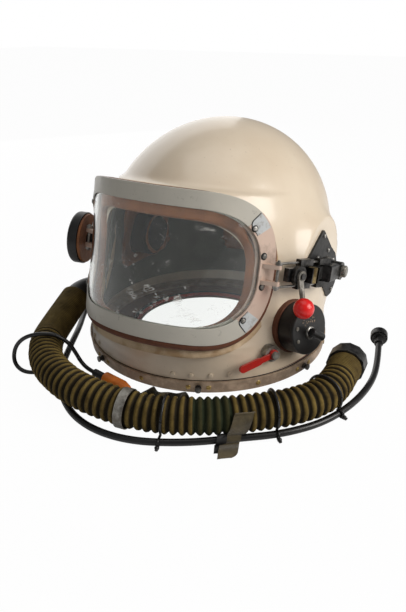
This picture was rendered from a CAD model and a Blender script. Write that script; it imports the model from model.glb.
import bpy
import bmesh
import numpy as np
from mathutils import Matrix, Vector


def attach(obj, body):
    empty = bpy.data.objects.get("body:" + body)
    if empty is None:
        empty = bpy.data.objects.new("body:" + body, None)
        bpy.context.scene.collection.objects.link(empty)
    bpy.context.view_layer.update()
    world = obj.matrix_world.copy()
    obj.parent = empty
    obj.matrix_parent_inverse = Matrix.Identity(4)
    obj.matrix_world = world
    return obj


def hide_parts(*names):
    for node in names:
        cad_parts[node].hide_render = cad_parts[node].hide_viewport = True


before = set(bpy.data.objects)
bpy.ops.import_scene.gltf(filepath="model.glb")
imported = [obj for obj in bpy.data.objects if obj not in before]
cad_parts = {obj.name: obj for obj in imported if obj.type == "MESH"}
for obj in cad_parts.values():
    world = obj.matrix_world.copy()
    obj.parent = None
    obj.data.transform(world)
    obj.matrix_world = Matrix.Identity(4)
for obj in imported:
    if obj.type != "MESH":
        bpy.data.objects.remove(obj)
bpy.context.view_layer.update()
scene = bpy.context.scene
millimetre = 0.001
upward, level = np.array([0.0, 0.0, 1.0]), np.array([1.0, 1.0, 0.0])
mergeReach, weldReach = 2e-6, 1e-6  # metres: for meshes from the CAD, and for those made here
softAngle = np.radians(34)  # edges sharper than this stay sharp and are softened
print("frame loaded:", len(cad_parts), "nodes")


cameraSettings = dict(place=(322.9, -570.4, 336.3), turn=30.0, rise=24.9, lens=36.47, sensor=36.0,
                      clip=(0.01, 50))

# Looks along its turn and down by its rise; the place is in millimetres
def makeCamera(settings):
    turn, rise = np.radians(settings["turn"]), np.radians(settings["rise"])
    back = Vector((np.sin(turn) * np.cos(rise), -np.cos(turn) * np.cos(rise), np.sin(rise)))
    right = Vector((np.cos(turn), np.sin(turn), 0))
    data = bpy.data.cameras.new("viewCamera")
    data.lens, data.sensor_width, data.sensor_fit = settings["lens"], settings["sensor"], "AUTO"
    data.clip_start, data.clip_end = settings["clip"]
    camera = bpy.data.objects.new("viewCamera", data)
    scene.collection.objects.link(camera)
    axes = Matrix((right, back.cross(right), back)).transposed().to_4x4()
    camera.matrix_world = Matrix.Translation(Vector(settings["place"]) * millimetre) @ axes
    scene.camera = camera
    return right, back

cameraRight, cameraBack = makeCamera(cameraSettings)


def srgb(*picked):  # a colour as picked by eye, turned linear
    c = np.array(picked, float)
    return tuple(np.where(c <= 0.04045, c / 12.92, ((c + 0.055) / 1.055) ** 2.4)) + (1.0,)


def darker(colour, share):
    return tuple(c * share for c in colour[:3]) + (1.0,)


# A number on a surface: sums and products of it add Math nodes
class Field:
    def __init__(self, finish, socket):
        self.finish, self.socket = finish, socket

    def combine(self, operation, other=None, flip=False, clamp=False):
        pair = enumerate([other, self] if flip else [self, other])
        values = {number: value for number, value in pair if value is not None}
        node = self.finish.node("ShaderNodeMath", dict(operation=operation, use_clamp=clamp), values)
        return Field(self.finish, node.outputs[0])

    def __add__(self, other): return self.combine("ADD", other)
    def __radd__(self, other): return self.combine("ADD", other, True)
    def __sub__(self, other): return self.combine("SUBTRACT", other)
    def __mul__(self, other): return self.combine("MULTIPLY", other)
    def most(self, other): return self.combine("MAXIMUM", other)
    def size(self): return self.combine("ABSOLUTE")
    def wave(self): return self.combine("SINE")
    def clamped(self): return self.combine("ADD", 0.0, clamp=True)


# One material: constants on the shader's sockets, patterns added by the methods
class Finish:
    def __init__(self, name, colour, **sockets):
        self.material = bpy.data.materials.new(name)
        self.material.use_nodes = True
        self.tree = self.material.node_tree
        self.shader = self.tree.nodes["Principled BSDF"]
        self.shader.inputs["Base Color"].default_value = colour
        for label, value in sockets.items():
            self.shader.inputs[label.replace("_", " ")].default_value = value
        self.places = {}

    def node(self, kind, settings=None, values=None):
        made = self.tree.nodes.new(kind)
        for label, value in (settings or {}).items():
            if label == "stops":
                for element, (at, shade) in zip(made.color_ramp.elements, value):
                    element.position, element.color = at, (shade, shade, shade, 1)
            else:
                setattr(made, label, value)
        for label, value in (values or {}).items():
            self.put(made.inputs[label], value)
        return made

    def put(self, socket, value):
        if isinstance(value, (Field, bpy.types.NodeSocket)):
            self.tree.links.new(getattr(value, "socket", value), socket)
        else:
            socket.default_value = value

    def coordinates(self, kind="Object", stretch=(1, 1, 1), turn=(0, 0, 0)):
        key = (kind, stretch, turn)
        if key not in self.places:
            if kind == "UV":
                source = self.node("ShaderNodeUVMap", dict(uv_map="UVMap")).outputs[0]
            else:
                source = self.node("ShaderNodeTexCoord").outputs[kind]
            values = {"Vector": source, "Scale": stretch, "Rotation": turn}
            self.places[key] = self.node("ShaderNodeMapping", None, values).outputs[0]
        return self.places[key]

    def axis(self, letter, **where):
        parts = self.node("ShaderNodeSeparateXYZ", None, {0: self.coordinates(**where)})
        return Field(self, parts.outputs[letter])

    def noise(self, scale, detail=3.0, rough=0.5, **where):
        values = {"Vector": self.coordinates(**where), "Scale": scale, "Detail": detail, "Roughness": rough}
        return Field(self, self.node("ShaderNodeTexNoise", None, values).outputs["Fac"])

    def cells(self, scale, feature="F1"):
        values = {"Vector": self.coordinates(), "Scale": scale, "Randomness": 1.0}
        return Field(self,
                     self.node("ShaderNodeTexVoronoi", dict(feature=feature), values).outputs["Distance"])

    def ramp(self, field, *stops):
        return Field(self, self.node("ShaderNodeValToRGB", dict(stops=stops), {0: field}).outputs[0])

    def rising(self, field, low, high): return self.ramp(field, (low, 0.0), (high, 1.0))
    def falling(self, field, low, high): return self.ramp(field, (low, 1.0), (high, 0.0))
    def patches(self, low, high, *noise): return self.rising(self.noise(*noise), low, high)

    def attribute(self, name):
        return Field(self, self.node("ShaderNodeAttribute", dict(attribute_name=name)).outputs["Fac"])

    def mixed(self, amount, first, second):
        made = self.node("ShaderNodeMix", dict(data_type="RGBA", clamp_factor=True), {0: amount})
        self.put(made.inputs[6], first)
        self.put(made.inputs[7], second)
        return made.outputs[2]

    def colour(self, amount, first, second):
        self.put(self.shader.inputs["Base Color"], self.mixed(amount, first, second))

    def roughness(self, field): self.put(self.shader.inputs["Roughness"], field)

    def bump(self, height, strength, distance):
        made = self.node("ShaderNodeBump", None,
                         {"Height": height, "Strength": strength, "Distance": distance})
        self.put(self.shader.inputs["Normal"], made.outputs[0])
        return self

    def blendOver(self, share, shader):  # a Mix Shader between this shader and another one
        blend = self.node("ShaderNodeMixShader", None,
                          {0: share, 1: self.shader.outputs[0], 2: shader.outputs[0]})
        self.tree.links.new(blend.outputs[0], self.tree.nodes["Material Output"].inputs[0])
        return self


stageSettings = dict(side=6.0, pale=0.86, roughness=0.9, mirrored=0.25, white=0.975, plain=0.17, seen=0.83)

# Pale floor and world: white where the camera sees them or looks through glass, plain for the light they give
def makeStage(s):
    mesh, far = bpy.data.meshes.new("floor"), s["side"]
    mesh.from_pydata([(-far, -far, 0), (far, -far, 0), (far, far, 0), (-far, far, 0)], [], [(0, 1, 2, 3)])
    floor = bpy.data.objects.new("floor", mesh)
    scene.collection.objects.link(floor)
    finish = Finish("paleFloor", (s["pale"],) * 3 + (1,), Roughness=s["roughness"])
    glow = finish.node("ShaderNodeEmission", None, {"Color": (1, 1, 1, 1), "Strength": 1.0})
    path = finish.node("ShaderNodeLightPath")
    rays = ("Is Camera Ray", "Is Glossy Ray", "Is Transmission Ray")
    camera, glossy, through = (Field(finish, path.outputs[label]) for label in rays)
    finish.blendOver((camera + glossy * s["mirrored"] + through).clamped() * s["white"], glow)
    mesh.materials.append(finish.material)
    world = bpy.data.worlds.new("studio")
    world.use_nodes = True
    scene.world = world
    nodes, links = world.node_tree.nodes, world.node_tree.links
    back = nodes["Background"]
    back.inputs["Color"].default_value = (1.0, 1.0, 1.0, 1)
    path, seen, strength = (nodes.new("ShaderNode" + kind) for kind in ("LightPath", "Math", "Math"))
    seen.operation, strength.operation = "MAXIMUM", "MULTIPLY_ADD"
    links.new(path.outputs["Is Camera Ray"], seen.inputs[0])
    links.new(path.outputs["Is Transmission Ray"], seen.inputs[1])
    links.new(seen.outputs[0], strength.inputs[0])
    strength.inputs[1].default_value, strength.inputs[2].default_value = s["seen"], s["plain"]
    links.new(strength.outputs[0], back.inputs["Strength"])


lampTarget = Vector((0, -0.02, 0.10))
lamps = dict(
    key=dict(at=(1.15, 0.45, 0.55), size=0.8, power=15.0, tint=(1.0, 0.965, 0.93)),
    fill=dict(at=(-0.7, 0.30, 1.2), size=1.0, power=1.1, tint=(1.0, 0.985, 0.96)),
    top=dict(at=(0.1, 1.3, 0.0), size=1.0, power=3.4, tint=(1.0, 0.98, 0.96)),
    rim=dict(at=(-0.5, 0.9, -1.3), size=1.5, power=9.0, tint=(1.0, 0.99, 0.98)),
)

# Each lamp stands right, up and towards the camera by its three numbers, aimed at the helmet
def makeLamps(settings):
    for name, one in settings.items():
        data = bpy.data.lights.new(name + "Lamp", "AREA")
        data.energy, data.size, data.color = one["power"], one["size"], one["tint"]
        lamp = bpy.data.objects.new(name + "Lamp", data)
        scene.collection.objects.link(lamp)
        right, up, back = one["at"]
        place = lampTarget + cameraRight * right + Vector((0, 0, 1)) * up + cameraBack * back
        aimed = (place - lampTarget).to_track_quat("Z", "Y").to_matrix().to_4x4()
        lamp.matrix_world = Matrix.Translation(place) @ aimed

makeStage(stageSettings)
makeLamps(lamps)
scene.view_settings.view_transform = "Standard"
print("camera, floor and lamps are set")


finishes = {}
slotOf = dict(  # the record's material slot that goes with a finish
    shell="shell_paint", frame="frame_paint", bare="bare_aluminium", tan="tan_ring",
    brownRubber="brown_rubber", blackRubber="black_rubber", ring="dark_ring", yellow="yellow_screws",
    glass="clear_pane", olive="olive_cloth", blackMoulded="black_moulded", redGloss="red_gloss",
    redLever="red_matte", redPiping="red_matte", steel="steel", darkSteel="dark_steel", lugSteel="dark_steel",
    brass="brass", blackPlate="black_plate", leather="brown_leather", liner="liner_cloth", webbing="webbing",
    cable="black_cable", orange="orange_plastic", grey="grey_metal")


def dressed(piece, body, node=None):  # rides its body, names its slot and stands for its CAD node
    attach(piece, body)
    if node:
        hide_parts(node)
    return piece


def linkPiece(name, mesh, finish=None, smooth=True):
    piece = bpy.data.objects.new(name, mesh)
    scene.collection.objects.link(piece)
    if finish is not None:
        mesh.materials.append(finishes.get(finish, finish).material)
    if smooth:
        smoothed(mesh)
    return piece


def smoothed(mesh):
    mesh.polygons.foreach_set("use_smooth", np.ones(len(mesh.polygons), bool))


def worked(mesh, *steps):  # runs bmesh steps on a mesh
    shape = bmesh.new()
    shape.from_mesh(mesh)
    for step in steps:
        step(shape)
    shape.to_mesh(mesh)
    shape.free()


def merging(reach): return lambda shape: bmesh.ops.remove_doubles(shape, verts=shape.verts, dist=reach)
def withoutSlivers(shape): bmesh.ops.dissolve_degenerate(shape, edges=shape.edges, dist=weldReach)
def facingOut(shape): bmesh.ops.recalc_face_normals(shape, faces=shape.faces)


def evaluated(piece):  # the piece's mesh with its modifiers, or its curve as a mesh
    bpy.context.view_layer.update()
    return bpy.data.meshes.new_from_object(piece.evaluated_get(bpy.context.evaluated_depsgraph_get()))


def bakeMesh(piece):  # every modifier becomes plain mesh
    done, old = evaluated(piece), piece.data
    name = old.name
    piece.modifiers.clear()
    piece.data = done
    bpy.data.meshes.remove(old)
    done.name = name


def readPoints(mesh):
    flat = np.zeros(len(mesh.vertices) * 3)
    mesh.vertices.foreach_get("co", flat)
    return flat.reshape(-1, 3)


def turns(count):  # angles round a circle
    return np.arange(count) * 2 * np.pi / count


# A grid of points (rows, columns, 3) becomes quads; closed joins the last column to the first, a cap is a fan
def gridPiece(name, grid, finish=None, closed=True, caps=(False, False), turned=False, extra=None,
              closedRows=False):
    rows, columns = grid.shape[:2]
    index = np.arange(rows * columns).reshape(rows, columns)
    below = index if closed else index[:, :-1]
    beside = np.roll(index, -1, 1) if closed else index[:, 1:]
    if closedRows:
        nextBelow, nextBeside = np.roll(below, -1, 0), np.roll(beside, -1, 0)
    else:
        below, nextBelow, beside, nextBeside = below[:-1], below[1:], beside[:-1], beside[1:]
    quads = np.stack([below, beside, nextBeside, nextBelow], -1).reshape(-1, 4)
    points = grid.reshape(-1, 3)
    faces = (quads[:, ::-1] if turned else quads).tolist()
    for wanted, ring, flip in ((caps[0], index[0], not turned), (caps[1], index[-1], turned)):
        if wanted:
            points = np.vstack([points, points[ring].mean(0)])
            around = np.stack([ring, np.roll(ring, -1), np.full(len(ring), len(points) - 1)], -1)
            faces += (around[:, ::-1] if flip else around).tolist()
    mesh = bpy.data.meshes.new(name)
    mesh.from_pydata(points.tolist(), [], faces)
    layer = mesh.uv_layers.new(name="UVMap")
    u, v = np.meshgrid(np.arange(columns) / columns, np.arange(rows) / max(rows - 1, 1))
    share = np.vstack([np.stack([u, v], -1).reshape(-1, 2), np.full((len(points) - rows * columns, 2), 0.5)])
    corners = np.zeros(len(mesh.loops), np.int64)
    mesh.loops.foreach_get("vertex_index", corners)
    layer.data.foreach_set("uv", share[corners].ravel())
    for label, values in (extra or {}).items():
        flat = np.zeros(len(points), np.float32)
        flat[:rows * columns] = np.asarray(values, np.float32).ravel()
        mesh.attributes.new(label, "FLOAT", "POINT").data.foreach_set("value", flat)
    return linkPiece(name, mesh, finish)


def meshPiece(name, points, faces, finish, *steps, smooth=True):  # stacked points and quads as one piece
    mesh = bpy.data.meshes.new(name)
    mesh.from_pydata(np.vstack(points).tolist(), [], np.vstack(faces).tolist())
    if steps:
        worked(mesh, *steps)
    return linkPiece(name, mesh, finish, smooth)


def unit(v):
    return v / np.linalg.norm(v, axis=-1, keepdims=True)


# A round tube: at each point of the path a circle whose radius may change along and around it; up leans on
# the world's Z, and on Y where the path stands upright
def tubePiece(name, path, radius, finish, around=24, extra=None):
    along = unit(np.gradient(path, axis=0))
    lean = np.where(np.abs(along[:, 2:]) > 0.97, np.array([[0.0, 1.0, 0.0]]), upward[None])
    side = unit(np.cross(along, lean))
    up = np.cross(side, along)
    angle = turns(around)[None, :, None]
    radius = np.broadcast_to(np.asarray(radius, float).reshape(len(path), -1), (len(path), around))
    grid = path[:, None] + radius[..., None] * (np.cos(angle) * side[:, None] + np.sin(angle) * up[:, None])
    return gridPiece(name, grid, finish, caps=(True, True), turned=True, extra=extra)


# Points of a smooth cord: the NURBS spline through the route, kept as a round curve if it has a finish
def splineThrough(name, route, finish=None, radius=0.0):
    data = bpy.data.curves.new(name, "CURVE")
    data.dimensions, data.resolution_u = "3D", 24
    spline = data.splines.new("NURBS")
    spline.points.add(len(route) - 1)
    for point, at in zip(spline.points, route):
        point.co = (*[c * millimetre for c in at], 1)
    spline.order_u, spline.use_endpoint_u = 3, True
    curve = bpy.data.objects.new(name, data)
    scene.collection.objects.link(curve)
    mesh = evaluated(curve)
    points = readPoints(mesh)
    bpy.data.meshes.remove(mesh)
    if finish is None:
        bpy.data.objects.remove(curve)
        return None, points
    data.bevel_depth, data.bevel_resolution, data.use_fill_caps = radius * millimetre, 5, True
    data.materials.append(finishes[finish].material)
    return curve, points


def resample(points, step):  # even points along a line, and its length
    far = np.concatenate([[0], np.cumsum(np.linalg.norm(np.diff(points, axis=0), axis=1))])
    at = np.linspace(0, far[-1], int(far[-1] / step) + 1)
    return np.stack([np.interp(at, far, points[:, k]) for k in range(points.shape[1])], -1), far[-1]


def placeAt(origin, out, lean=(0, 0, 1)):  # a point with three axes: across, up and out of a face
    out = unit(np.array(out, float))
    across = unit(np.cross(np.array(lean, float), out))
    return np.array(origin, float), across, np.cross(out, across), out


def intoPlace(place, local):
    origin, across, up, out = place
    return origin + local[..., :1] * across + local[..., 1:2] * up + local[..., 2:3] * out


screwProfile = dict(
    rings=np.array([0, 0.15, 0.3, 0.45, 0.6, 0.72, 0.84, 0.93, 1.0, 1.0]), around=32,
    drops=np.array([0, 0, 0, 0.01, 0.03, 0.07, 0.14, 0.26, 0.5, 1.3]), halfSlot=0.16, soft=0.05, deep=0.45,
    within=0.99)

# Slotted or plain screw heads in one piece: a flat-domed disc whose height drops inside the slot
def screwHeads(name, places, radius, height, finish, slot=0.0, seed=3):
    s, rng = screwProfile, np.random.default_rng(seed)
    rings, drop, angle = s["rings"][:, None] * radius, s["drops"][:, None] * height, turns(s["around"])
    x, y = rings * np.cos(angle), rings * np.sin(angle)
    index = np.arange(x.size).reshape(x.shape)
    beside = np.roll(index, -1, 1)
    quads = np.stack([index[:-1], index[1:], beside[1:], beside[:-1]], -1).reshape(-1, 4)
    points, faces = [], []
    for origin, *axes in places:
        turn = rng.uniform(0, np.pi)
        off = np.abs(x * np.sin(turn) + y * np.cos(turn))
        inSlot = np.clip((slot * radius * s["halfSlot"] - off) / (s["soft"] * radius) + 0.5, 0, 1)
        z = height - drop - inSlot * slot * s["deep"] * height * (rings < radius * s["within"])
        local = np.stack([x, y, z], -1) * millimetre
        faces.append(quads + len(points) * x.size)
        points.append(intoPlace((origin * millimetre, *axes), local).reshape(-1, 3))
    return meshPiece(name, points, faces, finish, merging(weldReach))


def cadCopy(node, name, *steps):  # a CAD node's mesh with its doubles merged
    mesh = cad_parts[node].data.copy()
    mesh.name = name
    mesh.materials.clear()
    worked(mesh, merging(mergeReach), *steps)
    if "custom_normal" in mesh.attributes:
        mesh.attributes.remove(mesh.attributes["custom_normal"])
    return mesh


# A copy of a CAD node, smooth over gentle angles and with softened edges
def refined(node, finish, body, edge, name=None):
    mesh = cadCopy(node, name or node + "Piece", withoutSlivers)
    piece = linkPiece(mesh.name, mesh, finish)
    mesh.set_sharp_from_angle(angle=softAngle)
    if edge:
        bevel = piece.modifiers.new("softEdges", "BEVEL")
        bevel.width, bevel.segments, bevel.limit_method = edge * millimetre, 2, "ANGLE"
        bevel.angle_limit, bevel.harden_normals, bevel.miter_outer = softAngle, True, "MITER_ARC"
    return dressed(piece, body, node)


# The visor's own frame: across, back and up along its leaning axis
visorTilt = np.radians(13.0)
visorOrigin = np.array([0.0, -28.0, 107.7])
visorAcross = np.array([1.0, 0, 0])
visorBack = np.array([0, np.cos(visorTilt), -np.sin(visorTilt)])
visorUp = np.array([0, np.sin(visorTilt), np.cos(visorTilt)])

def fromVisor(points):
    across, back, up = points[..., :1], points[..., 1:2], points[..., 2:3]
    return visorOrigin + across * visorAcross + back * visorBack + up * visorUp

def toVisor(points):
    away = points - visorOrigin
    return np.stack([away[..., 0], away @ visorBack, away @ visorUp], -1)


# Old gloss paint: slow tone drift, fine specks, chips with a dark core, dust low down
def creamPaint():
    made = Finish("creamPaint", srgb(0.87, 0.81, 0.74), Roughness=0.3, Coat_Weight=0.3, Coat_Roughness=0.1)
    drift = made.noise(9, 4, 0.6)
    specks = made.patches(0.70, 0.735, 420, 2, 0.7)
    sparse = made.patches(0.50, 0.62, 26, 2)
    chips = made.falling(made.cells(55), 0.045, 0.065) * made.patches(0.56, 0.6, 17, 1)
    low = made.falling(made.axis("Z"), 0.012, 0.05)
    tone = made.mixed(made.rising(drift, 0.35, 0.7), srgb(0.89, 0.835, 0.75), srgb(0.845, 0.775, 0.68))
    tone = made.mixed(low * made.noise(60, 3) * 0.7, tone, srgb(0.60, 0.52, 0.42))
    tone = made.mixed(specks * sparse * 0.55, tone, srgb(0.42, 0.36, 0.30))
    made.colour(chips * 0.8, tone, srgb(0.24, 0.20, 0.17))
    made.roughness(0.26 + drift * 0.12 + specks * 0.1)
    return made.bump(made.noise(300, 2) * 0.4 + made.noise(35, 2) * 0.8 - chips, 0.10, 0.0006)


def framePaint():  # grey paint that has rubbed thin on its edges
    made = Finish("framePaint", srgb(0.66, 0.64, 0.60), Roughness=0.34, Coat_Weight=0.15)
    wear, drift = made.patches(0.60, 0.72, 120, 5, 0.7), made.noise(24, 3)
    made.colour(wear * 0.5, made.mixed(drift, srgb(0.68, 0.67, 0.635), srgb(0.80, 0.78, 0.73)),
                srgb(0.36, 0.34, 0.31))
    made.roughness(0.3 + drift * 0.18)
    return made.bump(made.noise(500, 2), 0.06, 0.0004)


def bareAluminium():  # satin metal, its grain drawn one way, with dark stains
    colour = srgb(0.80, 0.71, 0.65)
    made = Finish("bareAluminium", colour, Metallic=0.6)
    grain = made.noise(220, 3, 0.6, stretch=(1, 1, 14))
    stain = made.patches(0.52, 0.75, 55, 4, 0.65)
    made.colour(stain * 0.6, colour, darker(colour, 0.45))
    made.roughness(0.42 + stain * 0.2 + grain * 0.08)
    return made.bump(grain, 0.08, 0.0004)


def tanPaint():
    made = Finish("tanPaint", srgb(0.84, 0.74, 0.60), Roughness=0.45)
    made.colour(made.patches(0.4, 0.65, 40, 4, 0.6), srgb(0.86, 0.77, 0.64), srgb(0.68, 0.56, 0.42))
    return made.bump(made.noise(260, 3), 0.12, 0.0005)


def mouldedRubber(name, light, dark, roughness=0.6, scale=160):
    made = Finish(name, srgb(*light))
    mottle = made.noise(scale, 4, 0.6)
    made.colour(mottle, srgb(*light), srgb(*dark))
    made.roughness(roughness + mottle * 0.15)
    return made.bump(made.noise(scale * 3, 2), 0.15, 0.0004)


def darkMetal(name, light, dark, roughness, metallic):
    made = Finish(name, srgb(*light), Metallic=metallic)
    made.colour(made.patches(0.42, 0.66, 90, 4, 0.65), srgb(*dark), srgb(*light))
    made.roughness(roughness + made.noise(240, 2) * 0.15)
    return made.bump(made.noise(400, 3), 0.12, 0.0004)


def leather():  # grain of small cells in a larger crease pattern
    made = Finish("brownLeather", srgb(0.62, 0.38, 0.20), Roughness=0.5, Sheen_Weight=0.15)
    grain, crease, worn = made.cells(620), made.cells(90, "DISTANCE_TO_EDGE"), made.noise(30, 4, 0.6)
    made.colour(made.rising(worn, 0.35, 0.7), srgb(0.62, 0.38, 0.20), srgb(0.42, 0.24, 0.12))
    made.roughness(0.42 + worn * 0.2)
    return made.bump(grain * 0.5 + made.rising(crease, 0.0, 0.06), 0.35, 0.0006)


def redGloss():
    made = Finish("redGloss", srgb(0.88, 0.05, 0.04), Roughness=0.3, Coat_Weight=0.2, Coat_Roughness=0.1)
    made.colour(made.patches(0.64, 0.76, 130, 4, 0.7) * 0.35, srgb(0.88, 0.06, 0.045), srgb(0.55, 0.03, 0.03))
    made.roughness(0.26 + made.noise(60, 2) * 0.1)
    return made


def redLever():
    made = Finish("redLever", srgb(0.70, 0.12, 0.09), Roughness=0.4)
    rub = made.patches(0.58, 0.70, 150, 4, 0.7)
    made.colour(rub * 0.6, srgb(0.70, 0.14, 0.11), srgb(0.42, 0.12, 0.09))
    made.roughness(0.34 + rub * 0.3)
    return made.bump(made.noise(300, 2), 0.1, 0.0004)


# Turn, scale and shift of each set
paneScratches = ((0.35, 34, 0.0), (-0.5, 27, 3.0), (1.25, 40, 5.0), (0.9, 22, 8.0))

def clearPane():  # a Mix Shader lays hair scratches and rubbed patches over the clear pane
    made = Finish("clearPane", (0.93, 0.95, 0.93, 1), Roughness=0.02, Transmission_Weight=1.0, IOR=1.47)
    scratch = None
    for turn, scale, shift in paneScratches:
        lines = made.noise(scale, 1, 0.4, stretch=(1.0, 0.02, 7.0), turn=(0.0, turn, shift))
        one = made.falling((lines - 0.5).size(), 0.0, 0.014)
        scratch = one if scratch is None else scratch.most(one)
    patchy = made.patches(0.57, 0.62, 75, 2, 0.6) * made.patches(0.44, 0.56, 14, 2, 0.5)
    fleck = made.patches(0.68, 0.71, 760, 2, 0.6) * made.patches(0.50, 0.60, 30, 2)
    mask = (scratch * patchy * 0.8 + fleck * 0.8 + made.noise(7, 3) * 0.012).clamped()
    return made.blendOver(mask, made.node("ShaderNodeBsdfDiffuse", None, {"Color": srgb(0.93, 0.92, 0.90)}))


metals = dict(  # name, light and dark colour, roughness, metallic
    ring=("neckRingMetal", (0.70, 0.61, 0.52), (0.57, 0.49, 0.41), 0.36, 0.3),
    yellow=("yellowPlate", (0.80, 0.70, 0.45), (0.50, 0.40, 0.22), 0.35, 0.8),
    steel=("brightSteel", (0.76, 0.75, 0.73), (0.50, 0.49, 0.47), 0.25, 0.95),
    darkSteel=("blackenedSteel", (0.34, 0.335, 0.33), (0.12, 0.12, 0.12), 0.27, 0.75),
    lugSteel=("lugSteel", (0.56, 0.545, 0.52), (0.28, 0.27, 0.26), 0.32, 0.75),
    brass=("dullBrass", (0.72, 0.64, 0.46), (0.38, 0.32, 0.20), 0.35, 0.85),
    blackPlate=("blackPlate", (0.16, 0.155, 0.15), (0.075, 0.075, 0.075), 0.45, 0.2),
    grey=("greyMetal", (0.66, 0.65, 0.62), (0.42, 0.40, 0.37), 0.38, 0.7),
)
rubbers = dict(  # name, light and dark colour, roughness, scale of the mottle
    brownRubber=("brownRubber", (0.47, 0.27, 0.17), (0.31, 0.17, 0.10)),
    blackRubber=("blackRubber", (0.10, 0.10, 0.10), (0.05, 0.05, 0.05)),
    blackMoulded=("blackMoulding", (0.105, 0.10, 0.098), (0.055, 0.055, 0.055), 0.36, 80),
    liner=("greyGreenSkin", (0.42, 0.44, 0.40), (0.30, 0.32, 0.29), 0.75, 60),
    cable=("cableSheath", (0.075, 0.07, 0.068), (0.035, 0.035, 0.035), 0.26, 60),
    orange=("orangeShell", (0.93, 0.52, 0.17), (0.62, 0.31, 0.08), 0.4, 90),
    redPiping=("redPiping", (0.80, 0.17, 0.13), (0.60, 0.10, 0.08), 0.6, 90),
)
finishes.update(shell=creamPaint(), frame=framePaint(), bare=bareAluminium(), tan=tanPaint(),
                leather=leather(), redGloss=redGloss(), redLever=redLever(), glass=clearPane())
finishes.update({key: darkMetal(*settings) for key, settings in metals.items()})
finishes.update({key: mouldedRubber(*settings) for key, settings in rubbers.items()})
print("finishes:", len(finishes))


hoseSettings = dict(ridge=17.3, valley=14.2, pitch=7.5, start=88.0, end=33.0, sleeve=16.5, ring=2.4, fine=0.4,
                    green=(0.617, 0.682), square=0.55, fill=0.94, sway=0.35, swayShare=0.5, folds=0.21,
                    waves=(3, 5, 9, 14), over=0.15, shade=(0.42, 0.5), around=72, step=0.0006, seed=11,
                    foldSize=(0.2, 0.6), fullTurn=6.28)
hoseRoute = [(-141, -68, 37), (-127, -120, 25), (-107, -158, 25.2), (-73, -190, 25.2), (-22, -207.5, 24.7),
             (38, -203, 18.9), (92, -182, 18.9), (138, -146, 18.9), (168, -113, 18.9), (181.5, -77, 18.9),
             (176.8, -27, 20.6)]
cableRoute = [(-137, -6, 27), (-148, -8, 25), (-156, -16, 16), (-157.5, -30, 7), (-150, -47, 3.6),
              (-133, -74, 3.6), (-110, -118, 3.6), (-86, -160, 3.6), (-50, -200, 3.6), (-6, -224, 3.6),
              (42, -225, 3.7), (88, -205, 4.6), (127, -174.5, 4.6), (159.5, -148.5, 4.6),
              (185.6, -113.6, 4.6), (199.6, -70, 4.6), (203.5, -24, 4.4), (198, 16, 5.8), (189, 50, 9.8)]
leadRoute = [(-90.5, -164.5, 2.6), (-103, -176, 2.6), (-116, -184, 4), (-127, -184, 12), (-128, -180, 26),
             (-118, -178, 39), (-103, -174, 47), (-88, -162, 45.5), (-78, -153, 35), (-73, -149, 22),
             (-67, -148.5, 12), (-57, -150, 7.2), (-47, -151.5, 6.9)]


# Rubberised cloth: threads on the UV map, dark valleys from the rib attribute
def oliveHose():
    made = Finish("oliveHoseCloth", srgb(0.45, 0.41, 0.29), Roughness=0.85, Specular_IOR_Level=0.2)
    rib, worn = made.attribute("rib"), made.noise(60, 5, 0.65)
    threads = (made.axis("X", kind="UV") * 1100.0).wave() * (made.axis("Y", kind="UV") * 4200.0).wave()
    weave = threads * 0.5 + 0.5
    tone = made.mixed(made.rising(worn, 0.34, 0.68), srgb(0.47, 0.395, 0.20), srgb(0.30, 0.24, 0.11))
    tone = made.mixed(made.falling(rib, 0.30, 0.86) * 0.95, tone, srgb(0.075, 0.06, 0.03))
    made.colour(made.rising(made.attribute("green"), 0.4, 0.6) * 0.8, tone, srgb(0.12, 0.16, 0.09))
    made.roughness(0.72 + worn * 0.2)
    return made.bump(weave * 0.35 + made.noise(230, 4, 0.6) * 1.2, 0.45, 0.0007)


# Radius along the hose: a raised cosine of the arc length over the pitch, squared off at the top, with each
# rib pushed aside and folded by its own random draws, and fine rings on the plain sleeves at both ends
def makeHose(s):
    path, length = resample(splineThrough("hoseLine", hoseRoute)[1], s["step"])
    at = np.linspace(0, length, len(path)) / millimetre
    whole = at[-1] - s["start"] - s["end"]
    ribs = int(whole / s["pitch"])
    phase = np.clip((at - s["start"]) / (whole / ribs), 0, ribs)
    inside = (at > s["start"]) & (at < at[-1] - s["end"])
    swell = 0.5 - 0.5 * np.cos(2 * np.pi * phase)
    rib = np.where(inside, swell ** s["square"], 0)[:, None]
    angle, rng, number = turns(s["around"]), np.random.default_rng(s["seed"]), np.floor(phase).astype(int)
    each = lambda draws: draws[number][:, None]
    shift = lambda: each(rng.uniform(0, s["fullTurn"], ribs + 1))
    sway = each(rng.normal(0, s["sway"], ribs + 1)) * np.cos(angle - shift())
    fold = lambda k: each(rng.uniform(*s["foldSize"], ribs + 1)) * np.cos(k * angle + shift())
    folds = sum(fold(k) for k in s["waves"])
    radius = s["valley"] + (s["ridge"] - s["valley"]) * rib * s["fill"]
    radius = radius + rib * (sway * s["swayShare"] + folds * s["folds"])
    radius = np.minimum(radius, s["ridge"] + s["over"])
    fine = 0.5 + 0.5 * np.cos(2 * np.pi * at / s["ring"])
    plain = np.where(inside, 0, 1)[:, None]
    radius = radius + plain * (s["sleeve"] - s["valley"] + s["fine"] * fine[:, None])
    low, high = (share * at[-1] for share in s["green"])
    shade = np.where(inside, swell, s["shade"][0] + s["shade"][1] * fine)
    fields = dict(rib=shade[:, None] + 0 * angle, green=((at > low) & (at < high))[:, None] + 0 * angle)
    finishes["olive"] = oliveHose()
    hose = tubePiece("ribbedHose", path, radius * millimetre, "olive", s["around"], fields)
    return dressed(hose, "helmet", "hose"), path


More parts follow.
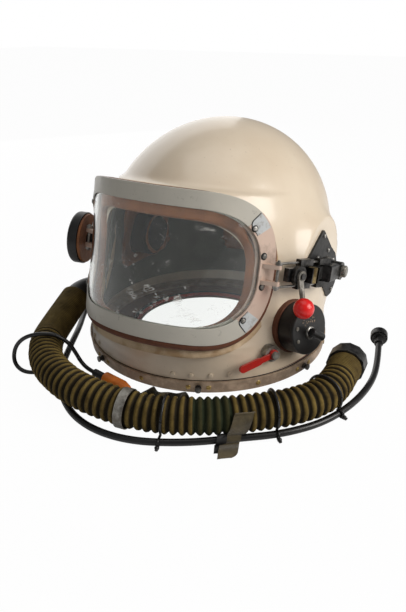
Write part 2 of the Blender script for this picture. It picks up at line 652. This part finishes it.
def makeCords():
    hose, path = makeHose(hoseSettings)
    cuff = refined("hose_cuff", "blackRubber", "helmet", 0.3, "hoseWrap")
    spigot = refined("hose_spigot", "grey", "helmet", 0.2, "hoseSpigot")
    nut = refined("hose_nut", "darkSteel", "nut", 0.5, "hoseNut")
    clamp = refined("hose_clamp", "grey", "helmet", 0.2, "hoseClamp")
    cable, line = splineThrough("headsetCable", cableRoute, "cable", 3.3)
    dressed(cable, "helmet", "cable")
    plug = refined("plug", "blackMoulded", "helmet", 0.4, "cablePlug")
    plugRing = refined("plug_ring", "darkSteel", "ring_of_plug", 0.5, "plugRing")
    lead, _ = splineThrough("thinLead", leadRoute, "cable", 2.1)
    dressed(lead, "helmet", "lead")
    sleeve = refined("lead_sleeve", "blackRubber", "helmet", 0.4, "leadSleeve")
    connector = refined("lead_connector", "orange", "helmet", 0.5, "leadConnector")
    print("cords are laid")
    return path, line

hosePath, cableLine = makeCords()


shellSettings = dict(
    halfWidth=118.0, halfLength=152.0, halfHeight=126.5, shift=31.0, waist=114.0, foot=133.0, ring=13.0,
    wall=3.0, seat=99.3, low=-79.0, top=70.0, pivotBack=60.0, chinBack=45.8, pivot=(30.46, 94.2), soft=7.0,
    padSoft=5.6, earReach=121.3, earTop=54.0, earRoot=78.0, earFrom=98.0, middle=(0.0, -6.0, 84.0), near=20.0,
    far=260.0, halvings=34, columns=320, rows=150)
# Rear, low, top and corner radius, in the visor's side plane
openingOutline = (-49.0, -59.0, 46.0, 44.0)

def softUnion(a, b, k):  # the smaller of two distances, rounded where they are alike
    share = np.clip(0.5 + 0.5 * (b - a) / k, 0, 1)
    return b + (a - b) * share - k * share * (1 - share)


# Rough distance outside the shell: an egg of ellipse slices, the turned seat, the chin and the ear pads
def shellDistance(p, s):
    x, y, z = p[..., 0], p[..., 1], p[..., 2]
    t = np.clip((z - s["ring"]) / (s["waist"] - s["ring"]), 0, 1)
    a = s["foot"] + (s["halfWidth"] - s["foot"]) * t
    b = s["foot"] + (s["halfLength"] - s["foot"]) * t
    cap = np.maximum(z - s["waist"], 0) / s["halfHeight"]
    egg = (np.sqrt((x / a) ** 2 + ((y - s["shift"] * t) / b) ** 2 + cap ** 2) - 1) * np.minimum(a, b)
    side, behind, up = np.moveaxis(toVisor(p), -1, 0)
    turned = s["pivotBack"] - np.hypot(behind - s["pivotBack"], up)
    around = np.hypot(side, np.minimum(np.where(up > 0, turned, behind), 0)) - s["seat"]
    under = s["low"] - up
    seat = np.maximum.reduce([around, behind, up - s["top"], under])
    t = np.clip((z - s["ring"]) / np.maximum(z - s["ring"] + np.maximum(under, 0), 1e-3), 0, 1)
    radius = s["foot"] - 1 + (s["seat"] - s["foot"] + 1) * t
    chin = np.hypot(x, np.minimum(y + s["chinBack"] * t, 0)) - radius
    chin = np.maximum(chin, np.maximum(-under - 2, y))
    out = s["earReach"] - np.abs(x)
    slope = (s["earRoot"] - s["earTop"]) / (s["earReach"] - s["earFrom"])
    rim = np.hypot(y - s["pivot"][0], z - s["pivot"][1])
    cone = (rim - s["earTop"] - slope * out) / np.hypot(1, slope)
    pad = np.maximum.reduce([-out, s["earFrom"] - np.abs(x), cone])
    return softUnion(softUnion(softUnion(egg, seat, s["soft"]), chin, s["soft"]), pad, s["padSoft"])


def cutBetween(isInside, near, far, halvings):  # halves the way along each ray until it sits on the surface
    for _ in range(halvings):
        half = (near + far) / 2
        inside = isInside(half)
        near, far = np.where(inside, half, near), np.where(inside, far, half)
    return near


def makeShell(s):  # rays from a point inside, each cut off where the distance turns positive
    middle, columns = np.array(s["middle"]), s["columns"]
    turn = (np.arange(columns) + 0.5) * 2 * np.pi / columns
    foot = np.stack([s["foot"] * np.cos(turn), s["foot"] * np.sin(turn), np.full(columns, s["ring"])],
                    -1) - middle
    lowest = np.arccos(foot[:, 2] / np.linalg.norm(foot, axis=1))
    compass = np.arctan2(foot[:, 1], foot[:, 0])
    polar = np.linspace(0, 1, s["rows"])[:, None] * lowest[None]
    ray = np.stack([np.sin(polar) * np.cos(compass), np.sin(polar) * np.sin(compass), np.cos(polar)], -1)
    reach = cutBetween(lambda half: shellDistance(middle + ray * half[..., None], s) < 0,
                       np.full(polar.shape, s["near"]), np.full(polar.shape, s["far"]), s["halvings"])
    grid = middle + ray * reach[..., None]
    grid[-1, :, 2] = s["ring"]
    return thickened(gridPiece("shellSkin", grid[1:] * millimetre, "shell", caps=(True, False), turned=True),
                     s["wall"])


def thickened(piece, wall, even=False):
    skin = piece.modifiers.new("wall", "SOLIDIFY")
    skin.thickness, skin.offset, skin.use_rim, skin.use_even_offset = wall * millimetre, -1, True, even
    return piece


# A rounded slab across the visor, as a closed solid: the outline in the side plane carried along X
def visorSlab(name, rear, low, top, corner, half=125.0, steps=24):
    sweep, middle = np.linspace(0, np.pi / 2, steps), rear - corner
    rounded = [(middle + corner * np.sin(a), low + corner - corner * np.cos(a)) for a in sweep]
    rounded += [(middle + corner * np.cos(a), top - corner + corner * np.sin(a)) for a in sweep]
    outline = [(-half, low), *rounded, (-half, top)]
    grid = np.array([[(x, *point) for point in outline] for x in (-half, half)])
    return gridPiece(name, fromVisor(grid) * millimetre, caps=(True, True))


def dressShell():
    shell, cutter = makeShell(shellSettings), visorSlab("faceCut", *openingOutline)
    cut = shell.modifiers.new("opening", "BOOLEAN")
    cut.object, cut.operation, cut.solver = cutter, "DIFFERENCE", "EXACT"
    bakeMesh(shell)
    bpy.data.objects.remove(cutter)
    smoothed(shell.data)
    shell.data.set_sharp_from_angle(angle=np.radians(50))
    shell.data.materials.clear()
    shell.data.materials.append(finishes["shell"].material)
    dressed(shell, "helmet", "shell")
    print("shell:", len(shell.data.polygons), "faces")

dressShell()


rigidPieces = dict(  # finish, body and width of the softened edges in millimetres
    face_ring=("tan", "helmet", 0.6), ear_plates=("blackPlate", "helmet", 0.4),
    pivot_bolts=("grey", "helmet", 0.3), neck_ring=("ring", "helmet", 0.4),
    ring_lugs=("lugSteel", "helmet", 0.3), neck_seal=("brownRubber", "helmet", 0.5),
    valve_gasket=("brownRubber", "helmet", 0.4), valve_housing=("blackMoulded", "helmet", 0.3),
    valve_cover=("blackMoulded", "helmet", 0.3), lever_boss=("grey", "helmet", 0.3),
    liner=("liner", "helmet", 0), earphones=("blackRubber", "helmet", 0.5),
    hose_elbow=("blackMoulded", "helmet", 0.3), cable_gland=("darkSteel", "helmet", 0.3),
    yokes=("darkSteel", "arms", 0.4), latch_block_left=("darkSteel", "arms", 0.3),
    latch_block_right=("darkSteel", "arms", 0.3), latch_barrel=("brass", "arms", 0.3),
    arm_cover_pad=("leather", "arms", 0.5), arm_cover=("blackMoulded", "arms", 0.4),
    frame_lower=("frame", "visor", 0.7), frame_upper=("frame", "visor", 0.7),
    frame_end_left=("bare", "visor", 0.6), frame_end_right=("bare", "visor", 0.6),
    glass_seal=("blackRubber", "visor", 0), visor_gasket=("brownRubber", "visor", 0.4),
    hinge_pins=("steel", "visor", 0.2), bail_rods=("steel", "visor", 0.1), latch_lever=("grey", "lever", 0.3),
    lever_ball=("redGloss", "lever", 0), valve_tap=("blackMoulded", "tap", 0.2),
    red_lever=("redLever", "chin_lever", 0.5), valve_fittings=("grey", "helmet", 0.1),
)
for node, (finish, body, edge) in rigidPieces.items():
    refined(node, finish, body, edge)
print("rigid pieces:", len(rigidPieces))


paneSettings = dict(radius=110.1, wall=3.0, half=58.6, rear=-47.4, corner=47.8, rows=61, columns=121)

# The bent pane: the arc's half angle at each height comes from the rounded rear edge
def dressPane(s):
    z = s["half"] * np.sin(np.linspace(-0.5, 0.5, s["rows"]) * np.pi)
    above = np.clip(np.abs(z) - (s["half"] - s["corner"]), 0, s["corner"])
    rear = s["rear"] - s["corner"] + np.sqrt(s["corner"] ** 2 - above ** 2)
    turn = np.arccos(-rear / s["radius"])[:, None] * np.linspace(-1, 1, s["columns"])
    grid = np.stack([s["radius"] * np.sin(turn), -s["radius"] * np.cos(turn), z[:, None] + 0 * turn], -1)
    pane = thickened(gridPiece("visorPane", fromVisor(grid) * millimetre, "glass", closed=False), s["wall"],
                     True)
    bakeMesh(pane)
    pane.data.set_sharp_from_angle(angle=np.radians(50))
    dressed(pane, "visor", "visor_glass")


tongueSettings = dict(radius=111.5, centre=(-96.0, 9.2), inner=46.8, outer=61.3, start=35.0, end=50.6,
                      corner=6.0, side=25)

def tongueFinish():  # the bars' paint, rubbed paler and cooler
    made = Finish("paleTongues", srgb(0.72, 0.735, 0.74), Roughness=0.3, Coat_Weight=0.15)
    made.colour(made.patches(0.52, 0.68, 150, 4, 0.7) * 0.6, srgb(0.74, 0.755, 0.76), srgb(0.50, 0.47, 0.43))
    return made.bump(made.noise(420, 2), 0.08, 0.0004)


# Plates at the end pieces' ends: polar about the frame's corner on its cylinder, one inner corner rounded off
def dressTongues(s):
    finishes["tongue"], slotOf["tongue"], side = tongueFinish(), "frame_paint", s["side"]
    index = np.arange(side * side).reshape(side, side)
    cells = np.stack([index[:-1, :-1], index[:-1, 1:], index[1:, 1:], index[1:, :-1]], -1).reshape(-1, 4)
    rim = np.concatenate([index[0], index[1:, -1], index[-1, -2::-1], index[-2:0:-1, 0]])
    ahead, start = np.roll(rim, -1), np.radians(s["start"])
    walls = np.stack([rim, ahead, ahead + index.size, rim + index.size], -1)
    quads = np.vstack([cells[:, ::-1], cells + index.size, walls])
    for name, finish, grow, heights in (("barGaps", "blackRubber", 0.65, (-0.3, 0.3)),
                                        ("barTongues", "tongue", 0.0, (-0.2, 0.75))):
        points, faces = [], []
        for hand, end in ((1, 1), (1, -1), (-1, 1), (-1, -1)):
            reach = np.linspace(s["inner"] - grow * 0.4, s["outer"] + grow * 0.2, side)
            cut = np.clip(s["corner"] - (reach - reach[0]), 0, s["corner"])
            round_ = s["corner"] - np.sqrt(s["corner"] ** 2 - cut ** 2)
            last = np.radians(s["end"]) + grow / reach - round_ / reach
            turn = start + np.linspace(0, 1, side)[:, None] * (last - start)
            back, up = s["centre"][0] + reach * np.cos(turn), end * (s["centre"][1] + reach * np.sin(turn))
            across = hand * np.sqrt(s["radius"] ** 2 - back ** 2)
            for height in heights:
                raised = 1 + height / s["radius"]
                layer = np.stack([across * raised, back * raised, up], -1)[:, ::hand * end]
                points.append(fromVisor(layer.reshape(-1, 3)) * millimetre)
            faces.append(quads + (len(points) - 2) * index.size)
        piece = meshPiece(name, points, faces, finish, facingOut)
        piece.data.set_sharp_from_angle(angle=softAngle)
        dressed(piece, "visor")

dressTongues(tongueSettings)


screwSettings = dict(
    ringAt=(135.2, 6.5), lugs=7, beside=(-4.3, 4.3, 180 / 7), barRadius=111.5,
    bars=((-61.2, 42.4), (-48.5, 16.8), (-46.3, -12.6), (-61.2, -44.7)),
    chin=(14.8, 22.7, 30.8, 38.6, -30.8, -38.6), chinHeight=19.5, chinLean=0.12, ear=(121.3, 30.46, 94.2),
    plate=2.2, earSize=50,
    ears=((-0.02, 0.71, 1), (0.3, 0.3, 1), (-0.34, 0.32, 1), (0.68, -0.04, 1), (0.58, -0.7, 2)))

def outFromRing(angle):  # outward direction at an angle counted from the front
    turn = np.radians(angle)
    return np.array([np.sin(turn), -np.cos(turn), 0.0])


def chinPlace(angle, s):  # where a level ray from the upright axis leaves the shell
    out, height = outFromRing(angle), upward * s["chinHeight"]
    reach = cutBetween(lambda half: shellDistance(out * half + height, shellSettings) < 0, 100.0, 150.0, 30)
    return placeAt(out * reach + height, out + upward * s["chinLean"])


def dressScrews(s):
    lugs = [180 + k * 360 / s["lugs"] for k in range(s["lugs"])]
    places = [placeAt(outFromRing(a + d) * s["ringAt"][0] + upward * s["ringAt"][1], outFromRing(a + d))
              for a in lugs for d in s["beside"]]
    dressed(screwHeads("ringScrewHeads", places, 2.6, 1.5, "yellow", slot=1.0, seed=5), "helmet",
            "ring_screws")
    sides = []
    for back, up in s["bars"]:
        for hand in (1, -1):
            across = hand * np.sqrt(s["barRadius"] ** 2 - back ** 2)
            out = across * visorAcross / s["barRadius"] + back / s["barRadius"] * visorBack
            sides.append(placeAt(fromVisor(np.array([across, back, up])), out, visorUp))
    dressed(screwHeads("frameScrewSeats", sides, 3.5, 0.95, "blackRubber"), "visor")
    raised = [(one[0] + one[3] * 0.5, *one[1:]) for one in sides]
    dressed(screwHeads("frameScrewHeads", raised, 2.3, 1.5, "steel", slot=0.8, seed=9), "visor",
            "frame_screws")
    x, y, z = s["ear"]
    size, plate = s["earSize"], s["plate"]
    ears = [placeAt([hand * (x + plate * walls), y + size * back, z + size * up], [hand, 0, 0])
            for back, up, walls in s["ears"] for hand in (1, -1)]
    dressed(screwHeads("chinRivets", [chinPlace(a, s) for a in s["chin"]], 2.4, 1.5, "shell"), "helmet")
    dressed(screwHeads("rivetHeads", ears, 2.4, 1.5, "steel"), "helmet", "rivets")


pipings = (("redPipingRing", 83.0, "redPiping", "piping_red"),
           ("blackPipingRing", 87.8, "blackRubber", "piping_black"))

def dressPiping(name, radius, finish, node, height=11.2, thick=2.0, stitchDeep=0.22, stitches=90, count=180):
    turn, small = turns(count)[:, None], turns(14)
    stitch = thick - stitchDeep * (np.abs(np.sin(turn * stitches)) > 0.9)
    reach = radius + stitch * np.cos(small)
    grid = np.stack([reach * np.cos(turn), reach * np.sin(turn), height + stitch * np.sin(small)], -1)
    dressed(gridPiece(name, grid * millimetre, finish, turned=True, closedRows=True), "helmet", node)

dressScrews(screwSettings)
for one in pipings:
    dressPiping(*one)
print("screws, rivets and piping are in")


padSettings = dict(  # the visible piece's name and how far it may swell, in millimetres
    nape_pad=("napeCushion", 2.5), crown_pad=("crownCushion", 2.5), side_pads=("sideCushions", 2.0),
    brow_pad=("browCushion", 2.0), earphone_rings=("earCushions", 0.8))
puffSettings = dict(frames=20, pressure=3.0, mass=0.3, quality=5, stiffness=12.0, voxel=0.0045)

# A pad of the CAD's outline, remeshed small, blown up as cloth for twenty frames and held near its start
def swellPad(node, name, swell, s):
    pad = linkPiece(name, cadCopy(node, name), "leather")
    remesh = pad.modifiers.new("even", "REMESH")
    remesh.mode, remesh.voxel_size, remesh.use_smooth_shade = "VOXEL", s["voxel"], True
    relax = pad.modifiers.new("relax", "SMOOTH")
    relax.factor, relax.iterations = 0.5, 6
    bakeMesh(pad)
    start = readPoints(pad.data)
    puff = pad.modifiers.new("puff", "CLOTH")
    puff.settings.use_pressure, puff.settings.uniform_pressure_force = True, s["pressure"]
    puff.settings.effector_weights.gravity = 0.0
    puff.settings.quality, puff.settings.mass = s["quality"], s["mass"]
    puff.settings.tension_stiffness = puff.settings.compression_stiffness = s["stiffness"]
    puff.point_cache.frame_start, puff.point_cache.frame_end = 1, s["frames"]
    for number in range(1, s["frames"] + 1):
        scene.frame_set(number)
    bakeMesh(pad)
    scene.frame_set(1)
    moved = readPoints(pad.data) - start
    far = np.linalg.norm(moved, axis=1, keepdims=True)
    start = start + moved * np.minimum(1, swell * millimetre / np.maximum(far, 1e-9))
    pad.data.vertices.foreach_set("co", start.ravel())
    finer = pad.modifiers.new("finer", "SUBSURF")
    finer.levels = finer.render_levels = 1
    bakeMesh(pad)
    smoothed(pad.data)
    dressed(pad, "helmet", node)

for node, (name, swell) in padSettings.items():
    swellPad(node, name, swell, puffSettings)
print("pads are swollen")
dressPane(paneSettings)


# A place on the hose's line: its point, its level heading and the level direction away from the helmet, then
# the cable's middle beside it as (outward, up)
def hosePlace(share):
    k = int(share * (len(hosePath) - 1))
    heading = unit((hosePath[k + 4] - hosePath[k - 4]) * level)
    axes = hosePath[k] / millimetre, heading, np.array([heading[1], -heading[0], 0.0])
    away = cableLine / millimetre - axes[0]
    near = int(np.where(np.linalg.norm(away, axis=1) < 60, np.abs(away @ heading), 1e6).argmin())
    return axes, (away[near] @ axes[2], cableLine[near, 2] / millimetre)


# Points from arrays of distances outward, up and along the hose
def besideHose(axes, out, up, along):
    origin, heading, outward = axes
    spot = origin * level + out[..., None] * outward + up[..., None] * upward
    return (spot + along[..., None] * heading) * millimetre


def arc(centre, radius, start, end, count):
    angle = np.radians(np.linspace(start, end, count))
    return np.stack([centre[0] + radius * np.cos(angle), centre[1] + radius * np.sin(angle)], -1)


def webbingFinish(name, light, dark):  # ribbed weave on the UV map, with darker selvedges
    made = Finish(name, light, Roughness=0.9, Sheen_Weight=0.3, Sheen_Roughness=0.5)
    threads = (made.axis("X", kind="UV") * 150.0).wave() * (made.axis("Y", kind="UV") * 520.0).wave()
    weave = threads * 0.5 + 0.5
    tone = made.mixed(made.patches(0.34, 0.66, 70, 5, 0.65), light, dark)
    tone = made.mixed(made.attribute("edge") * 0.35, tone, dark)
    made.colour(weave * 0.4, tone, darker(dark, 0.55))
    return made.bump(weave + made.noise(300, 3) * 0.8, 0.5, 0.0006)


# In millimetres; arcs are radius, start, end and count, the tail is its start, end, first and last height
strapSettings = dict(
    share=0.688, width=17.5, front=(18.7, 34.0, -52.0, 26), over=(4.1, 118, -28, 16), hem=(1.1, 205, 20, 6),
    tail=(0.6, 17.0, 2.2, 0.75), tailWave=1.6, tailCount=14, lean=0.30, leanFrom=26, rounded=5, ripple=0.35,
    floor=0.5, columns=23, edge=0.44, step=0.7)
backingSettings = dict(loop=(4.7, 150, -60, 14), end=((2.5, 0.9), (8, 0.8), (13, 1.6)), width=9, curl=1.4,
                       shift=-11.5, lean=0.22, floor=0.6, columns=11)

# Down the hose's front, over the cable and out along the floor, leaning to one side on the way
def dressStrap(s):
    axes, cable = hosePlace(s["share"])
    front, over = arc((0.0, axes[0][2]), *s["front"]), arc(cable, *s["over"])
    first, last, high, low = s["tail"]
    tail = np.linspace((over[-1, 0] + first, high), (over[-1, 0] + last, low), s["tailCount"])
    tail[:, 1] += s["tailWave"] * np.sin(np.linspace(0, np.pi, s["tailCount"])) ** 2
    hem = arc((front[0, 0] + 0.2, front[0, 1] + 0.3), *s["hem"])
    line, length = resample(np.vstack([hem, front, over, tail]), s["step"])
    across = np.linspace(-0.5, 0.5, s["columns"])[None]
    far = np.linspace(0, length, len(line))[:, None]
    nearEnd = np.clip(far - (length - s["rounded"]), 0, s["rounded"]) / (s["rounded"] + 0.5)
    rounded = np.sqrt(np.clip(1 - nearEnd ** 2, 0.05, 1))
    width = s["width"] * np.where(across < 0, 1, rounded)
    ripple = s["ripple"] * np.sin(far * 0.55 + across * 5) * (np.abs(across) * 2) ** 2
    points = besideHose(axes, line[:, :1] + ripple, np.maximum(line[:, 1:] + 0.3 * ripple, s["floor"]),
                        s["lean"] * (s["leanFrom"] - far) + width * across)
    finishes["strap"] = webbingFinish("strapWebbing", srgb(0.42, 0.37, 0.25), srgb(0.26, 0.22, 0.13))
    edge = (np.abs(across) > s["edge"]) + 0 * far
    strap = gridPiece("webbingStrap", points, "strap", closed=False, extra=dict(edge=edge))
    dressed(strap, "helmet", "strap")
    return axes, cable


def dressBacking(s, axes, cable, step):  # the rubbered lash that the strap is sewn on
    loop = arc(cable, *s["loop"])
    line, length = resample(np.vstack([loop, np.array(s["end"]) + [loop[-1, 0], 0]]), step)
    across, far = np.linspace(-0.5, 0.5, s["columns"])[None], np.linspace(0, length, len(line))[:, None]
    curl = s["curl"] * np.sin(far * 0.4 + across * 3)
    high = np.maximum(line[:, 1:] + np.abs(curl) * 0.7, s["floor"])
    points = besideHose(axes, line[:, :1] + 0 * curl, high,
                        s["shift"] - s["lean"] * far + s["width"] * across)
    dressed(gridPiece("strapBacking", points, "blackRubber", closed=False), "helmet")


tabSettings = dict(share=0.56, width=52.0, height=19.0, low=11.0, away=20.6, columns=60, rows=26,
                   peaks=((0.16, -0.2, 0.07), (-0.14, 0.06, 0.14), (0.07, 0.33, 0.1)), sag=(0.30, 0.28, 0.22),
                   droop=(15.0, 0.36, 0.14), fold=(3.0, -0.2, 0.05), bend=2.1, ripple=0.84, flare=1.5,
                   edge=(0.9, 0.47))

def hill(at, middle, wide):
    return np.exp(-((at - middle) / wide) ** 2)

def ramped(at, start, wide):  # from none at the start to one a width further on
    return np.clip((at - start) / wide, 0, 1)


# A stiff cloth flap behind the hose: its top edge waves and a fold runs down it
def dressTab(s):
    u, v = np.meshgrid(np.linspace(-0.5, 0.5, s["columns"]), np.linspace(0, 1, s["rows"]))
    peaks = sum(rise * hill(u, middle, wide) for rise, middle, wide in s["peaks"])
    (sag, *left), (droop, *right), (fold, *place) = s["sag"], s["droop"], s["fold"]
    top = 1 + peaks - sag * ramped(-u, *left)
    high = s["low"] + s["height"] * v * top - droop * ramped(u, *right) ** 1.5 * v
    folded = fold * hill(u, *place) * v ** 1.5
    bend = s["bend"] * np.sin(u * 17 + 0.6) * v + folded + s["ripple"] * np.sin(v * 7 + u * 9) * (0.3 + v)
    out = -(s["away"] + bend * 0.9 + s["flare"] * (1 - v))
    points = besideHose(hosePlace(s["share"])[0], out, high, u * s["width"])
    finishes["tab"] = webbingFinish("tabCloth", srgb(0.42, 0.37, 0.23), srgb(0.23, 0.20, 0.12))
    edge = (v > s["edge"][0]) | (np.abs(u) > s["edge"][1])
    tab = gridPiece("clothTab", points, "tab", closed=False, extra=dict(edge=edge))
    dressed(tab, "helmet", "cloth_tab")


tieSettings = dict(shares=(0.567, 0.761, 0.878), radius=1.2, over=(18.3, 262, -38, 48),
                   under=(4.65, 48, -70, 12), lean=1.6, knot=(1.0, 6.0), knotCount=12, step=0.9,
                   knotSize=(1.2, 1.0, 0.3), knotShare=0.9, lift=0.05, ballLift=0.1)

# A thin cord each: up over the hose, down round the cable, its ends knotted beside it
def dressTies(s):
    thin, swell, lumps = s["knotSize"]
    for number, share in enumerate(s["shares"]):
        axes, cable = hosePlace(share)
        line = np.vstack([arc((0.0, axes[0][2]), *s["over"]), arc(cable, *s["under"])])
        line[:, 1] = np.maximum(line[:, 1], s["radius"] + s["lift"])
        path, _ = resample(line, s["step"])
        lean = s["lean"] * np.sin(np.linspace(0, np.pi, len(path)) * 1.3 + number)
        points = besideHose(axes, path[:, 0], path[:, 1], lean)
        radius = np.full(len(points), s["radius"] * millimetre)
        node = None if number else "ties"
        dressed(tubePiece("tieCord%d" % number, points, radius, "cable", 12), "helmet", node)
        knot = np.linspace(0, 1, s["knotCount"])
        size = (thin + swell * np.sin(knot * np.pi) ** 0.5 + lumps * np.sin(knot * 14)) * s["knotShare"]
        ball = points[-1] + axes[2] * (s["knot"][0] + knot[:, None] * s["knot"][1]) * millimetre
        ball[:, 2] = (size + s["ballLift"]) * millimetre
        dressed(tubePiece("tieKnot%d" % number, ball, size * millimetre, "cable", 14), "helmet")


strapPlace = dressStrap(strapSettings)
dressBacking(backingSettings, *strapPlace, strapSettings["step"])
dressTab(tabSettings)
dressTies(tieSettings)
print("webbing, tab and ties are on")


valveSettings = dict(at=(119.45, -36.0, 52.4), turn=18.0, rise=9.0, face=22.5, drop=3.0, raised=0.18,
                     ticks=(52, 66, 80, 94, 108, 122), tickAt=10.6, tickHalf=0.45, tickLong=(3.2, 1.8),
                     pairs=(66, 94, 122), pairAt=16.4, pairStep=0.9, pairHalf=(0.35, 1.5),
                     washer=[(6.4, 0.9), (6.4, 1.5), (5.2, 1.75), (4.15, 1.75), (4.15, 0.9)])

def wornMarks():
    worn = Finish("wornPaleMarks", srgb(0.66, 0.58, 0.48), Roughness=0.8)
    worn.colour(worn.patches(0.45, 0.6, 420, 2), srgb(0.72, 0.62, 0.52), srgb(0.20, 0.17, 0.14))
    return worn


# Ticks in an arc over the tap and pairs of short bars outside them, then a turned washer round the tap
def dressValve(s):
    turn, rise = np.radians(s["turn"]), np.radians(s["rise"])
    out = np.array([np.cos(rise) * np.cos(turn), -np.cos(rise) * np.sin(turn), np.sin(rise)])
    place = placeAt(np.array(s["at"]) + out * s["face"], out)
    marks = []
    for k, angle in enumerate(np.radians(s["ticks"])):
        spoke = np.array([np.cos(angle), np.sin(angle)])
        flat = np.array([-spoke[1], spoke[0]]) * s["tickHalf"]
        base, long = spoke * s["tickAt"] - [0, s["drop"]], spoke * s["tickLong"][k % 2]
        marks.append([base - flat, base + flat, base + flat + long, base - flat + long])
    wide, high = s["pairHalf"]
    for angle in np.radians(s["pairs"]):
        middle = np.array([np.cos(angle), np.sin(angle)]) * s["pairAt"] - [0, s["drop"]]
        for step in (-s["pairStep"], s["pairStep"]):
            marks.append([middle + [step + x, y]
                          for x, y in ((-wide, -high), (wide, -high), (wide, high), (-wide, high))])
    sides = [[k, (k + 1) % 4, (k + 1) % 4 + 4, k + 4] for k in range(4)]
    block = np.array([[3, 2, 1, 0], [4, 5, 6, 7]] + sides)
    flats = [np.hstack([corners, np.full((4, 1), z)]) for corners in marks for z in (0.0, s["raised"])]
    points = [intoPlace(place, flat) * millimetre for flat in flats]
    faces = [block + 8 * k for k in range(len(marks))]
    dressed(meshPiece("valveMarks", points, faces, wornMarks(), smooth=False), "helmet")
    profile, angle = np.array(s["washer"], float), turns(48)
    local = np.stack([profile[:, :1] * np.cos(angle), profile[:, :1] * np.sin(angle),
                      profile[:, 1:] + 0 * angle], -1)
    lowered = (place[0] - place[2] * s["drop"], *place[1:])
    washer = gridPiece("tapWasher", intoPlace(lowered, local) * millimetre, "steel", caps=(True, True))
    dressed(washer, "helmet")


# Closed profiles of (radius, height) round the helmet's upright axis: a dark joint and a thin brown bead
seamProfiles = (("ringSeam", "blackRubber", [(133.1, 13.05), (134.4, 13.05), (134.4, 13.8), (133.2, 14.0)]),
                ("ringBead", "brownRubber", [(132.6, 13.9), (133.7, 13.9), (133.8, 14.6), (132.6, 14.9)]))

def ringRound(name, finish, profile, count=180):
    radius, height = np.array(profile, float).T * millimetre
    turn = turns(count)[:, None]
    grid = np.stack([radius * np.cos(turn), radius * np.sin(turn), height + 0 * turn], -1)
    dressed(gridPiece(name, grid, finish, closedRows=True), "helmet")


# Points of a rounded outline on the visor's cylinder: down one side from the front top and up the other
def loopOnVisor(rear, low, top, corner, radius, grow):
    middle, wide = rear - corner, corner + grow
    ahead = np.linspace(0, np.arccos(-middle / radius), 24, endpoint=False)
    bend = np.linspace(np.pi / 2, 0, 24)
    front, curve, rise = -radius * np.cos(ahead), middle + wide * np.cos(bend), wide * np.sin(bend)
    straight = np.linspace(top - corner, low + corner, 10)[1:-1]
    back = np.concatenate([front, curve, np.full(8, rear + grow), curve[::-1], front[::-1]])
    up = np.concatenate([np.full(24, top + grow), top - corner + rise, straight, low + corner - rise[::-1],
                         np.full(24, low - grow)])
    right = np.stack([np.sqrt(np.maximum(radius ** 2 - back ** 2, 0)), back, up], -1)
    return np.vstack([right, (right * [-1, 1, 1])[-2:0:-1]])


# A trim strip: each (outward, radius) of the closed profile follows the outline; share fades the outward part
def trimLoop(name, outline, profile, finish, body, share):
    rings = []
    for out, radius in profile:
        base = loopOnVisor(*outline, radius, 0.0)
        grown = loopOnVisor(*outline, radius, 1.0) - base
        rings.append(base + grown * (out * share(base))[:, None])
    piece = gridPiece(name, fromVisor(np.stack(rings, 1)) * millimetre, finish, closedRows=True)
    worked(piece.data, facingOut)
    piece.data.set_sharp_from_angle(angle=np.radians(60))
    dressed(piece, body)


frameOutline = (-33.0, -71.3, 71.3, 62.0)
bindingProfile = [(9.6, 103.8), (5.0, 104.1), (0.6, 104.2), (-1.6, 103.2), (-2.4, 100.6), (-1.8, 97.6),
                  (0.8, 96.2), (6.0, 96.4), (9.0, 99.5)]
lipProfile = [(-1.6, 109.4), (0.2, 110.6), (3.2, 110.4), (6.2, 108.2), (6.8, 105.2), (3.0, 104.9),
              (-1.6, 105.4)]
flangeProfile = [(-1.0, 102.4), (-1.0, 103.2), (7.0, 103.3), (12.0, 104.1), (14.6, 104.3), (15.6, 103.2),
                 (15.6, 96.0), (4.0, 96.0)]

def wideAbove(p):  # full width at the brow, a thin edge lower down
    return ramped(p[:, 2], 30, 14) * 0.82 + 0.18


# Nothing at the brow, full width below the pivots and a little more at the rear
def wideBelow(p):
    return np.clip((48 - p[:, 2]) / 46, 0.02, 1) * (1 + 0.2 * ramped(p[:, 1], -60, 25))


# Leather over the face opening's edge, the visor's rubber lip and the ring it closes on
def dressTrim():
    trimLoop("openingBinding", openingOutline, bindingProfile, "leather", "helmet", wideAbove)
    trimLoop("gasketLip", frameOutline, lipProfile, "brownRubber", "visor", wideBelow)
    trimLoop("seatFlange", frameOutline, flangeProfile, "tan", "helmet", wideBelow)


dressValve(valveSettings)
for one in seamProfiles:
    ringRound(*one)
dressTrim()
print("valve face and seam are dressed")


print("all pieces are made")
